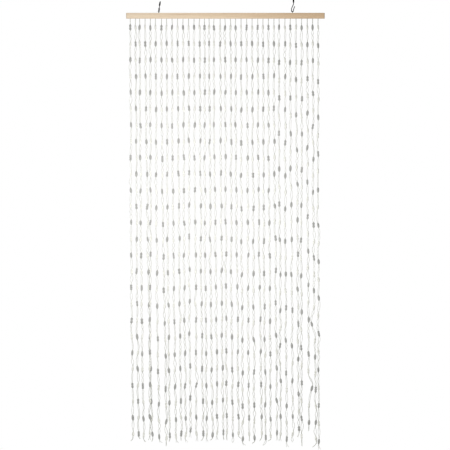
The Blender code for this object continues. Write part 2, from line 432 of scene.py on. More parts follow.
@dataclass(frozen=True)
class PineFinish:
    """Planed light pine with its grain along the batten, paler at its left end, partly by painted shade."""

    pale: Colour = tone(215, 198, 174)
    # Tone at the right end: the wood's own warmer tone with painted shade in it
    warm_and_shaded: Colour = tone(197, 170, 137)
    line: Colour = tone(158, 124, 88)
    length: float = 900 * MM
    drift: Spots = Spots((5, 60, 60), 3)
    drift_share: float = 0.5
    rings: Spots = Spots((6, 260, 260), 4, 0.6)
    ring_edges: Span = (0.52, 0.72)
    ring_shade: float = 0.45
    pores: Spots = Spots((90, 2200, 2200))
    pore_shade: float = 0.14
    pore_relief: float = 0.3
    depth: float = 0.2 * MM
    roughness: float = 0.5
    roughness_rise: float = 0.2

    def material(self) -> bpy.types.Material:
        """Build the wood.

        Returns:
            The material.
        """
        graph = Graph(bpy.data.materials.new("light_pine"))
        drift = graph.noise(self.drift)
        # Darker to the right: partly the wood's own tone, partly painted shade where the light falls off
        side = (graph.place().axis("X") + self.length / 2) * (1 / self.length)
        base = graph.blend(side + (drift - 0.5) * self.drift_share, self.pale, self.warm_and_shaded)
        rings = graph.noise(self.rings)
        pores = graph.noise(self.pores)
        colour = graph.blend(rings.between(*self.ring_edges) * self.ring_shade, base, self.line)
        colour = graph.blend((1 - pores) * self.pore_shade, colour, self.line)
        normal = graph.relief(rings.mixed(pores, self.pore_relief), self.depth)
        roughness = self.roughness + pores * self.roughness_rise
        return graph.dress(Base_Color=colour, Roughness=roughness, Normal=normal)


@dataclass(frozen=True)
class CordFinish:
    """Twisted off-white cotton, with painted shade in the grooves of its twist and painted shade that deepens
    near the floor.

    The twist follows the cord's own map, whose U runs along it.
    """

    colour: Colour = tone(212, 213, 205)
    shade: Colour = tone(158, 159, 149)
    turns: float = 330.0
    plies: float = 2.0
    ply_groove_shade: float = 0.45
    fuzz: Spots = Spots((900, 900, 900), 3)
    fuzz_shade: float = 0.2
    fuzz_relief: float = 0.3
    soil: Spots = Spots((14, 14, 9))
    soil_shade: float = 0.25
    floor_shade_ends: Span = (-1.2, -1.95)
    floor_shade_share: float = 0.3
    depth: float = 0.4 * MM
    roughness: float = 0.85
    sheen: float = 0.25

    def material(self) -> bpy.types.Material:
        """Build the cotton.

        Returns:
            The material.
        """
        graph = Graph(bpy.data.materials.new("cotton_cord"))
        lie = graph.add("ShaderNodeUVMap", uv_map="UVMap")
        phase = (lie.axis("X") * self.turns + lie.axis("Y") * self.plies) * FULL_TURN
        plies = phase.sine() * 0.5 + 0.5
        fuzz = graph.noise(self.fuzz)
        soil = graph.noise(self.soil)
        # Painted shade: the cords grow darker towards the floor, where less light falls; the soil noise is
        # dirt
        floor_shade = graph.place().axis("Z").between(*self.floor_shade_ends)
        # Painted shade in the grooves between the plies; the fuzz is the cotton's own uneven tone
        colour = graph.blend((1 - plies) * self.ply_groove_shade + fuzz * self.fuzz_shade, self.colour, self.shade)
        colour = graph.blend(soil * self.soil_shade + floor_shade * self.floor_shade_share, colour, self.shade)
        normal = graph.relief(plies.mixed(fuzz, self.fuzz_relief), self.depth)
        return graph.dress(
            Base_Color=colour, Roughness=self.roughness, Normal=normal, Sheen_Weight=self.sheen
        )


@dataclass(frozen=True)
class YarnFinish:
    """Yarn wound round the cords in close turns, a little uneven in tone from piece to piece."""

    name: str
    colour: Colour
    shade: Colour
    pitch: float = 1.7 * MM
    slant: Triple = (4, 5, 0)
    swirl: float = 1.4
    swirl_scale: float = 1.6
    turn_groove_shade: float = 0.5
    fuzz: Spots = Spots((1400, 1400, 900), 4)
    fuzz_shade: float = 0.4
    fuzz_relief: float = 0.45
    piece: Spots = Spots((31, 31, 17), 1)
    piece_shade: float = 0.5
    depth: float = 0.6 * MM
    roughness: float = 0.9
    sheen: float = 0.3

    def material(self) -> bpy.types.Material:
        """Build the wound yarn.

        Returns:
            The material.
        """
        graph = Graph(bpy.data.materials.new(self.name))
        swirl = {"Distortion": self.swirl, "Detail_Scale": self.swirl_scale}
        turns = graph.bands("Z", self.slant, Scale=WAVE_STEP / self.pitch, **swirl)
        fuzz = graph.noise(self.fuzz)
        piece = graph.noise(self.piece)
        # Painted shade in the grooves between the turns; the fuzz and the piece noise are the yarn's own
        # uneven tone
        colour = graph.blend((1 - turns) * self.turn_groove_shade + fuzz * self.fuzz_shade, self.colour, self.shade)
        colour = graph.blend(piece * self.piece_shade, colour, self.shade)
        normal = graph.relief(turns.mixed(fuzz, self.fuzz_relief), self.depth)
        return graph.dress(
            Base_Color=colour, Roughness=self.roughness, Normal=normal, Sheen_Weight=self.sheen
        )


@dataclass(frozen=True)
class TapeFinish:
    """Woven cotton tape in the batten's groove."""

    colour: Colour = tone(226, 220, 204)
    shade: Colour = tone(176, 168, 148)
    warp_scale: float = 260.0
    weft_scale: float = 320.0
    depth: float = 0.3 * MM
    roughness: float = 0.9

    def material(self) -> bpy.types.Material:
        """Build the tape.

        Returns:
            The material.
        """
        graph = Graph(bpy.data.materials.new("cotton_tape"))
        weave = graph.bands("X", Scale=self.warp_scale) * graph.bands("Y", Scale=self.weft_scale)
        # Painted shade: the weave's hollows take the darker shade colour
        colour = graph.blend(weave, self.shade, self.colour)
        normal = graph.relief(weave, self.depth)
        return graph.dress(Base_Color=colour, Roughness=self.roughness, Normal=normal)


@dataclass(frozen=True)
class SteelFinish:
    """Dark steel wire, with faint drawing marks and duller spots."""

    name: str
    colour: Colour
    dull: Colour
    roughness: float
    roughness_rise: float = 0.25
    spots: Spots = Spots((420, 420, 420), 4)
    marks: Spots = Spots((3000, 3000, 500))
    depth: float = 0.04 * MM

    def material(self) -> bpy.types.Material:
        """Build the steel.

        Returns:
            The material.
        """
        graph = Graph(bpy.data.materials.new(self.name))
        spots = graph.noise(self.spots)
        colour = graph.blend(spots, self.colour, self.dull)
        roughness = spots * self.roughness_rise + self.roughness
        normal = graph.relief(graph.noise(self.marks), self.depth)
        return graph.dress(Base_Color=colour, Metallic=1.0, Roughness=roughness, Normal=normal)


@dataclass(frozen=True)
class FloorFinish:
    """A plain pale floor."""

    colour: Colour = tone(246, 246, 245)
    shade: Colour = tone(225, 225, 224)
    grain: Spots = Spots((40, 40, 40))
    grain_shade: float = 0.06
    roughness: float = 0.8

    def material(self) -> bpy.types.Material:
        """Build the floor's paint.

        Returns:
            The material.
        """
        graph = Graph(bpy.data.materials.new("pale_floor"))
        colour = graph.blend(graph.noise(self.grain) * self.grain_shade, self.colour, self.shade)
        return graph.dress(Base_Color=colour, Roughness=self.roughness)


@dataclass
class Route:
    """A tube's middle line with the share of its radius at each point."""

    points: list[Vector] = field(default_factory=list)
    shares: list[float] = field(default_factory=list)

    def add(self, point: Vector, share: float = 1.0) -> None:
        """Add one point."""
        self.points.append(point)
        self.shares.append(share)


def link_mesh(name: str, mesh: bpy.types.Mesh, material: bpy.types.Material) -> bpy.types.Object:
    """Put a finished mesh in the scene.

    Args:
        name: The piece's name.
        mesh: Its mesh, in place.
        material: Its finish.

    Returns:
        The new piece.
    """
    mesh.name = name
    mesh.materials.clear()
    mesh.materials.append(material)
    mesh.shade_smooth()
    piece = bpy.data.objects.new(name, mesh)
    bpy.context.scene.collection.objects.link(piece)
    return piece


def finished_mesh(bm: bmesh.types.BMesh, name: str) -> bpy.types.Mesh:
    """Close a bmesh with its faces turned outwards.

    Args:
        bm: The bmesh, which is freed.
        name: The mesh's name.

    Returns:
        The mesh.
    """
    bmesh.ops.recalc_face_normals(bm, faces=bm.faces)
    mesh = bpy.data.meshes.new(name)
    bm.to_mesh(mesh)
    bm.free()
    return mesh


def link_bmesh(name: str, bm: bmesh.types.BMesh, material: bpy.types.Material) -> bpy.types.Object:
    """Put a bmesh, which is freed, in the scene as a new piece."""
    return link_mesh(name, finished_mesh(bm, name), material)


def evaluated_mesh(shown: bpy.types.Object) -> bpy.types.Mesh:
    """Take an object's mesh with its modifiers or bevel applied, and remove the object.

    Args:
        shown: A mesh or curve object.

    Returns:
        The mesh.
    """
    bpy.context.view_layer.update()
    graph = bpy.context.evaluated_depsgraph_get()
    mesh = bpy.data.meshes.new_from_object(shown.evaluated_get(graph))
    bpy.data.objects.remove(shown)
    return mesh


def add_box(bm: bmesh.types.BMesh, low: Triple, high: Triple) -> None:
    """Add a box.

    Args:
        bm: The bmesh that takes it.
        low: The box's lowest corner.
        high: Its highest corner.
    """
    size = Vector(high) - Vector(low)
    middle = (Vector(high) + Vector(low)) / 2
    place = Matrix.Translation(middle) @ Matrix.Diagonal(size).to_4x4()
    bmesh.ops.create_cube(bm, size=1, matrix=place)


def ease_edges(bm: bmesh.types.BMesh, edges: list, radius: float, segments: int) -> None:
    """Round edges off.

    Args:
        bm: The bmesh that has them.
        edges: The edges.
        radius: How far the rounding reaches from each.
        segments: The steps of the rounding.
    """
    bmesh.ops.bevel(
        bm, geom=edges, offset=radius, segments=segments, profile=0.5, affect="EDGES", material=-1
    )


def spin_round(bm: bmesh.types.BMesh, profile: list, axis: Triple, steps: int) -> None:
    """Turn a profile once round an axis through the origin, and close the seam and the poles.

    Args:
        bm: The bmesh that has it.
        profile: Its points and edges.
        axis: The axis.
        steps: The steps of the turn.
    """
    bmesh.ops.spin(
        bm, geom=profile, cent=(0, 0, 0), axis=axis, angle=FULL_TURN, steps=steps, use_merge=True
    )
    bmesh.ops.remove_doubles(bm, verts=bm.verts, dist=SEAM)


def swept_mesh(name: str, routes: list[Route], radius: float, rounds: int) -> bpy.types.Mesh:
    """Sweep a round section along each route.

    Args:
        name: The mesh's name.
        routes: The middle lines.
        radius: The section's radius where the share is 1.
        rounds: The curve's bevel resolution.

    Returns:
        The mesh of all the tubes, with a map whose U runs along each.
    """
    curve = bpy.data.curves.new(name, "CURVE")
    curve.dimensions = "3D"
    curve.bevel_depth = radius
    curve.bevel_resolution = rounds
    curve.use_fill_caps = True
    for route in routes:
        spline = curve.splines.new("POLY")
        spline.points.add(len(route.points) - 1)
        for knot, point, share in zip(spline.points, route.points, route.shares):
            knot.co = (*point, 1)
            knot.radius = share
    shown = bpy.data.objects.new(name, curve)
    bpy.context.scene.collection.objects.link(shown)
    return evaluated_mesh(shown)


def eased(start: Vector, leave: Vector, end: Vector, arrive: Vector, share: float) -> Vector:
    """Find a point on the smooth way between two points with given directions.

    Args:
        start: Where the way begins.
        leave: The way's direction and force there.
        end: Where it ends.
        arrive: Its direction and force there.
        share: How far along the point is, from 0 to 1.

    Returns:
        The point.
    """
    t2, t3 = share**2, share**3
    return (
        start * (2 * t3 - 3 * t2 + 1)
        + leave * (t3 - 2 * t2 + share)
        + end * (3 * t2 - 2 * t3)
        + arrive * (t3 - t2)
    )


def held(value: float, limit: float) -> float:
    """Keep a value between a limit and its negative."""
    return max(-limit, min(limit, value))


class Gather(NamedTuple):
    """A wound piece's place: its middle, the half of its axis that points up, and its colour."""

    middle: Vector
    axis: Vector
    grey: bool


@dataclass
class CurtainString:
    """One string of the curtain, with the places of its pieces as the solids have them.

    As in its row, its sizes are in millimetres, and its leans in degrees. A piece stands aside by a slow sway
    along the whole string and by a jolt of its own. jolt and lean give what holds at the head and what the
    foot has more. Towards the head and the foot the unevenness dies down by the powers.
    """

    number: int
    row: StringRow
    seed: int = 36
    first_piece: float = 66.0
    piece_length: float = 26.0
    length_shares: Span = (0.9, 1.08)
    drift_power: float = 1.4
    head_power: int = 8
    foot_power: int = 6
    sway: float = 1.5
    sway_turn: float = 5.0
    jolt: Span = (1.6, 1.2)
    back_jolt: float = 1.5
    height_jolt: float = 2.2
    lean: Span = (3.0, 2.5)
    lean_limit: float = 14.0
    root_height: float = -23.5
    gathers: list[Gather] = field(default_factory=list)

    def __post_init__(self) -> None:
        """Work out the pieces' places."""
        row = self.row
        chance = random.Random(self.seed * 100 + self.number)
        phase = chance.uniform(0, FULL_TURN)
        kinks = {kink.piece: kink for kink in KINKS if kink.string == self.number}
        for piece in range(row.pieces):
            along = piece / (row.pieces - 1)
            calm = 1 - along**self.foot_power
            aside = self.sway * math.sin(phase + self.sway_turn * along)
            aside += chance.uniform(-1, 1) * (self.jolt[0] + self.jolt[1] * along)
            x = row.head + (row.foot - row.head) * along**self.drift_power
            x += aside * min(calm, 1 - (1 - along) ** self.head_power)
            y = row.back * along + chance.uniform(-self.back_jolt, self.back_jolt) * calm
            z = -self.first_piece - (row.last - self.first_piece) * along
            z += chance.uniform(-self.height_jolt, self.height_jolt) * calm
            lean = chance.gauss(0, self.lean[0] + self.lean[1] * along)
            if piece in kinks:
                x += kinks[piece].aside
                lean = kinks[piece].lean
            half = self.piece_length / 2 * chance.uniform(*self.length_shares)
            lean = math.radians(held(lean, self.lean_limit))
            axis = Vector((math.sin(lean), 0, math.cos(lean))) * half * MM
            grey = (piece + self.number) % 2 == 0
            self.gathers.append(Gather(Vector((x, y, z)) * MM, axis, grey))

    @property
    def root(self) -> Vector:
        """Where the cords leave the heading tape, in metres."""
        return Vector((self.row.head, 0, self.root_height)) * MM

    @property
    def tip(self) -> Vector:
        """Where the tail ends, in metres."""
        row = self.row
        return Vector((row.foot + row.aside, row.back, -row.last - row.drop)) * MM


@dataclass
class CordPair:
    """The two cords of a string, which wander apart and together on their way down.

    A turn is the angle in radians at which one cord lies beside the other, seen from above. entry is where
    in a piece's upper half the cords lie together, and forces are shares of the way between two places.
    wisp_form gives a loose fibre's points as shares of its reach and its rise, with its thickness there.
    tail_rise is how far above the tail's tip the cords end and their frayed ends begin.
    """

    string: CurtainString
    seed: int = 9000
    radius: float = 1.0 * MM
    steps: int = 8
    entry: float = 0.9
    first_turn: float = 0.6
    turn_change: float = 0.7
    turn_limit: float = 0.9
    bow: float = 1.0 * MM
    twist_steps: int = 24
    twist_turns: float = 2.5
    twist_force: float = 0.8
    eye_middle: Span = (0.4, 0.6)
    eye_width: Span = (0.28, 0.44)
    knot_radius: Span = (2.2 * MM, 2.9 * MM)
    wisps_per_gap: int = 8
    wisp_reach: Span = (1.6 * MM, 3.2 * MM)
    wisp_rise: Span = (-6.0 * MM, 3.0 * MM)
    wisp_form: tuple[Triple, ...] = ((0, 0, 0.65), (0.6, 0.3, 0.55), (0.95, 0.65, 0.4), (1, 1, 0.2))
    tail_force: float = 0.7
    tail_swing: float = 0.8
    tail_spread: float = 3.6 * MM
    tail_taper: float = 0.2
    fork_power: float = 1.5
    tail_rise: float = 1.5 * MM
    end_knot: float = 2.2 * MM
    fray_fibres: int = 3
    fray_steps: int = 3
    fray_step: float = 0.8 * MM
    fray_bend: float = 0.9 * MM
    fray_taper: float = 0.25
    routes: tuple[Route, Route] = field(default_factory=lambda: (Route(), Route()))
    knots: list[tuple[Vector, float]] = field(default_factory=list)
    fibres: list[Route] = field(default_factory=list)

    def __post_init__(self) -> None:
        """Lay both cords from the tape to their tips."""
        self.chance = random.Random(self.seed + self.string.number)
        self.turn = self.chance.uniform(-self.first_turn, self.first_turn)
        self._lay_twist()
        gathers = self.string.gathers
        for upper, lower in zip(gathers, gathers[1:]):
            self._lay_gap(upper, lower)
        self._lay_tail(gathers[-1])

    def _put(self, middle: Vector, apart: float, turn: float, share: float = 1.0) -> None:
        """Add a point to both cords, each at its own side of the middle line.

        Args:
            middle: The place on the middle line.
            apart: How far each cord stands from it.
            turn: The angle at which they lie, seen from above.
            share: The share of the cords' radius.
        """
        aside = Vector((math.cos(turn), math.sin(turn), 0)) * apart
        self.routes[0].add(middle - aside, share)
        self.routes[1].add(middle + aside, share)

    def _lay_twist(self) -> None:
        """Lay the twisted stretch from the tape to the first piece."""
        start, first = self.string.root, self.string.gathers[0]
        end = first.middle + first.axis
        down = Vector((0, 0, start.z - end.z)) * -self.twist_force
        for step in range(self.twist_steps):
            share = step / self.twist_steps
            turn = self.turn - FULL_TURN * self.twist_turns * (1 - share)
            self._put(eased(start, down, end, down, share), self.radius, turn)

    def _lay_gap(self, upper: Gather, lower: Gather) -> None:
        """Lay both cords through a piece's heart and on to the next piece.

        Args:
            upper: The piece above the gap.
            lower: The piece below it.
        """
        start, end = upper.middle - upper.axis, lower.middle + lower.axis
        self._put(upper.middle + upper.axis * self.entry, self.radius, self.turn)
        reach = (start - end).length
        leave = upper.axis.normalized() * -reach
        arrive = lower.axis.normalized() * -reach
        pick = self.chance.random()
        gap = next(kind for kind in Gap if pick < kind.value.limit)
        spread = self.chance.uniform(*gap.value.spread)
        change = self.chance.uniform(-self.turn_change, self.turn_change)
        turn = held(self.turn + change, self.turn_limit)
        middle = self.chance.uniform(*self.eye_middle)
        width = self.chance.uniform(*self.eye_width)
        bow = Vector((self.chance.uniform(-1, 1), self.chance.uniform(-1, 1), 0)) * self.bow
        for step in range(self.steps + 1):
            share = step / self.steps
            place = eased(start, leave, end, arrive, share) + bow * math.sin(math.pi * share)
            apart = self.radius + spread * gap.parting(share, middle, width)
            self._put(place, apart, self.turn + (turn - self.turn) * share)
        if gap is Gap.KNOT:
            place = eased(start, leave, end, arrive, 0.5) + bow
            self.knots.append((place, self.chance.uniform(*self.knot_radius)))
        self.turn = turn
        for _ in range(self.wisps_per_gap):
            self._raise_wisp(self.chance.choice(self.routes))

    def _raise_wisp(self, route: Route) -> None:
        """Let a loose fibre stand out of a cord somewhere in its newest gap.

        Args:
            route: The cord.
        """
        place = self.chance.randrange(1, self.steps)
        base = route.points[-place].lerp(route.points[-place - 1], self.chance.random())
        turn = self.chance.uniform(0, FULL_TURN)
        out = Vector((math.cos(turn), math.sin(turn), 0)) * self.chance.uniform(*self.wisp_reach)
        rise = Vector((0, 0, self.chance.uniform(*self.wisp_rise)))
        wisp = Route()
        for outwards, upwards, share in self.wisp_form:
            wisp.add(base + out * outwards + rise * upwards, share)
        self.fibres.append(wisp)

    def _lay_tail(self, last: Gather) -> None:
        """Lay the tail below the last piece, with frayed ends and mostly an end knot.

        Args:
            last: The last piece.
        """
        row, tip = self.string.row, self.string.tip
        self._put(last.middle + last.axis * self.entry, self.radius, self.turn)
        start, end = last.middle - last.axis, tip + Vector((0, 0, self.tail_rise))
        leave = last.axis.normalized() * -(start - tip).length
        arrive = (tip - start) * self.tail_force + Vector((row.aside * MM * self.tail_swing, 0, 0))
        for step in range(self.steps + 1):
            share = step / self.steps
            apart = self.radius
            if row.tail is Tail.FORKED:
                apart += self.tail_spread * share**self.fork_power
            elif row.tail is Tail.LOOPED:
                apart += self.tail_spread * math.sin(math.pi * share)
            place = eased(start, leave, end, arrive, share)
            self._put(place, apart, self.turn * (1 - share), 1.0 - self.tail_taper * share)
        if row.tail is not Tail.FORKED:
            self.knots.append((end, self.end_knot))
        for route in self.routes:
            self._fray(route)

    def _fray(self, route: Route) -> None:
        """Let a cord end in a few thin fibres.

        Args:
            route: The cord.
        """
        end = route.points[-1]
        way = (end - route.points[-2]).normalized()
        for _ in range(self.fray_fibres):
            fibre = Route()
            bend = Vector((self.chance.uniform(-1, 1), self.chance.uniform(-1, 1), 0)) * self.fray_bend
            for step in range(self.fray_steps + 1):
                point = end + way * step * self.fray_step + bend * (step / self.fray_steps) ** 2
                fibre.add(point, 1.0 - self.fray_taper * step)
            self.fibres.append(fibre)


@dataclass
class StringCurtain:
    """One half of the curtain's strings, with their cords, pieces, knots and heading tape.

    Shares are the least and the most of a piece's own measure. pole is where a wound piece closes, as a
    share of its half length, and tape_margin is how far the tape runs on past the outermost string.
    """

    side: str
    numbers: range
    cord: bpy.types.Material
    grey: bpy.types.Material
    ivory: bpy.types.Material
    tape: bpy.types.Material
    piece_seed: int = 700
    piece_radius: float = 5.7 * MM
    radius_shares: Span = (0.88, 1.06)
    depth_shares: Span = (0.86, 1.0)
    ivory_share: float = 0.92
    outline_weights: tuple[int, ...] = (6, 3, 1)
    segments: int = 8
    pole: float = 1.02
    knot_seed: int = 800
    knot_lean: float = 0.6
    knot_depth: float = 0.85
    knot_heights: Span = (0.9, 1.3)
    fibre_radius: float = 0.22 * MM
    tape_low: float = -24.3 * MM
    tape_high: float = -21.4 * MM
    tape_half_width: float = 2.1 * MM
    tape_margin: float = 8.0 * MM
    tape_gap: float = 0.3 * MM
    tape_edge: float = 0.5 * MM

    def __post_init__(self) -> None:
        """Lay out the strings and their cords."""
        self.strings = [CurtainString(number, STRINGS[number]) for number in self.numbers]
        self.pairs = [CordPair(string) for string in self.strings]

    def build(self) -> list[bpy.types.Object]:
        """Build the half's pieces.

        Returns:
            The pieces, the cords first.
        """
        return [
            self.build_cords(),
            self.build_fibres(),
            self.build_wound(True),
            self.build_wound(False),
            self.build_knots(),
            self.build_tape(),
        ]

    def build_cords(self) -> bpy.types.Object:
        """Sweep all the cords of this half.

        Returns:
            The piece that holds them all.
        """
        routes = [route for pair in self.pairs for route in pair.routes]
        mesh = swept_mesh("cords", routes, self.pairs[0].radius, rounds=1)
        return link_mesh(f"cords_{self.side}", mesh, self.cord)

    def build_fibres(self) -> bpy.types.Object:
        """Sweep the frayed fibres at the cords' ends and the loose ones along them.

        Returns:
            The piece that holds them all.
        """
        routes = [route for pair in self.pairs for route in pair.fibres]
        mesh = swept_mesh("fibres", routes, self.fibre_radius, rounds=0)
        return link_mesh(f"frayed_ends_{self.side}", mesh, self.cord)

    def turned_piece(self, outline: Wound) -> bpy.types.Mesh:
        """Turn a wound piece's outline round its axis, with a radius and half length of 1.

        Args:
            outline: The piece's outline.

        Returns:
            The closed mesh.
        """
        bm = bmesh.new()
        heights = [(0, self.pole), *outline.value, (0, -self.pole)]
        verts = [bm.verts.new((radius, 0, height)) for radius, height in heights]
        edges = [bm.edges.new(pair) for pair in zip(verts, verts[1:])]
        spin_round(bm, verts + edges, (0, 0, 1), self.segments)
        return finished_mesh(bm, outline.name.lower())

    def build_wound(self, grey: bool) -> bpy.types.Object:
        """Set a wound piece of one colour at each of its places.

        Args:
            grey: Whether the grey ones are built.

        Returns:
            The piece that holds them all.
        """
        templates = [self.turned_piece(outline) for outline in Wound]
        chance = random.Random(self.piece_seed + self.numbers[0] + grey)
        colour_share = 1.0 if grey else self.ivory_share
        bm = bmesh.new()
        for gather in (g for string in self.strings for g in string.gathers if g.grey is grey):
            template = chance.choices(templates, weights=self.outline_weights)[0]
            radius = self.piece_radius * chance.uniform(*self.radius_shares) * colour_share
            lean = Z_AXIS.rotation_difference(gather.axis).to_matrix().to_4x4()
            turn = Matrix.Rotation(chance.uniform(0, math.pi), 4, "Z")
            depth = radius * chance.uniform(*self.depth_shares)
            size = Matrix.Diagonal((radius, depth, gather.axis.length, 1))
            wound = template.copy()
            wound.transform(Matrix.Translation(gather.middle) @ lean @ turn @ size)
            bm.from_mesh(wound)
            bpy.data.meshes.remove(wound)
        colour, yarn = ("grey", self.grey) if grey else ("ivory", self.ivory)
        return link_bmesh(f"wound_{colour}_{self.side}", bm, yarn)

    def build_knots(self) -> bpy.types.Object:
        """Set a small lump of cord at each knot.

        Returns:
            The piece that holds them all.
        """
        chance = random.Random(self.knot_seed + self.numbers[0])
        bm = bmesh.new()
        for middle, radius in (knot for pair in self.pairs for knot in pair.knots):
            lean = Matrix.Rotation(chance.uniform(-self.knot_lean, self.knot_lean), 4, "Y")
            size = Matrix.Diagonal((1.0, self.knot_depth, chance.uniform(*self.knot_heights), 1))
            place = Matrix.Translation(middle) @ lean @ size
            bmesh.ops.create_icosphere(bm, subdivisions=1, radius=radius, matrix=place)
        return link_bmesh(f"knots_{self.side}", bm, self.ivory)

    def build_tape(self) -> bpy.types.Object:
        """Make the heading tape in the batten's groove, with eased edges.

        Returns:
            The tape.
        """
        middle = (STRINGS[MIDDLE - 1].head + STRINGS[MIDDLE].head) / 2 * MM
        outer = max((string.root.x for string in self.strings), key=abs)
        left, right = sorted((middle, outer + math.copysign(self.tape_margin, outer)))
        bm = bmesh.new()
        add_box(
            bm,
            (left + self.tape_gap, -self.tape_half_width, self.tape_low),
            (right - self.tape_gap, self.tape_half_width, self.tape_high),
        )
        ease_edges(bm, list(bm.edges), self.tape_edge, segments=2)
        return link_bmesh(f"heading_tape_{self.side}", bm, self.tape)


@dataclass
class Batten:
    """The pine batten with rounded ends, eased edges, the tape's groove and the eyes' holes.

    A face whose normal has at least level_normal upwards or downwards is its top or underside.
    """

    wood: bpy.types.Material
    length: float = 900 * MM
    depth: float = 12 * MM
    height: float = 25 * MM
    end_radius: float = 5 * MM
    edge_radius: float = 0.9 * MM
    groove_width: float = 5 * MM
    groove_height: float = 4 * MM
    groove_ends: Span = (-439.3 * MM, 428.3 * MM)
    hole_radius: float = 1.7 * MM
    hole_depth: float = 15 * MM
    level_normal: float = 0.9
    sharp_angle: float = 35.0

    def build(self) -> bpy.types.Object:
        """Build the batten.

        Returns:
            The batten.
        """
        bm = bmesh.new()
        half_length, half_depth = self.length / 2, self.depth / 2
        add_box(bm, (-half_length, -half_depth, -self.height), (half_length, half_depth, 0))
        upright = [e for e in bm.edges if abs(e.verts[0].co.z - e.verts[1].co.z) > self.height / 2]
        ease_edges(bm, upright, self.end_radius, segments=8)
        level = {face for face in bm.faces if abs(face.normal.z) > self.level_normal}
        rims = [edge for edge in bm.edges if level.intersection(edge.link_faces)]
        ease_edges(bm, rims, self.edge_radius, segments=3)
        blank = link_bmesh("batten_blank", bm, self.wood)
        cutter = self.build_cutter()
        cut = blank.modifiers.new("groove", "BOOLEAN")
        cut.operation = "DIFFERENCE"
        cut.object = cutter
        batten = link_mesh("pine_batten", evaluated_mesh(blank), self.wood)
        bpy.data.objects.remove(cutter)
        batten.data.set_sharp_from_angle(angle=math.radians(self.sharp_angle))
        return batten

    def build_cutter(self) -> bpy.types.Object:
        """Make the solid that cuts the groove and the holes.

        Returns:
            The solid.
        """
        bm = bmesh.new()
        left, right = self.groove_ends
        add_box(
            bm,
            (left, -self.groove_width / 2, -self.height - self.groove_height),
            (right, self.groove_width / 2, -self.height + self.groove_height),
        )
        for hanging in HANGINGS:
            bmesh.ops.create_cone(
                bm,
                cap_ends=True,
                segments=20,
                radius1=self.hole_radius,
                radius2=self.hole_radius,
                depth=2 * self.hole_depth,
                matrix=Matrix.Translation((hanging.x, 0, 0)),
            )
        return link_bmesh("batten_cutter", bm, self.wood)


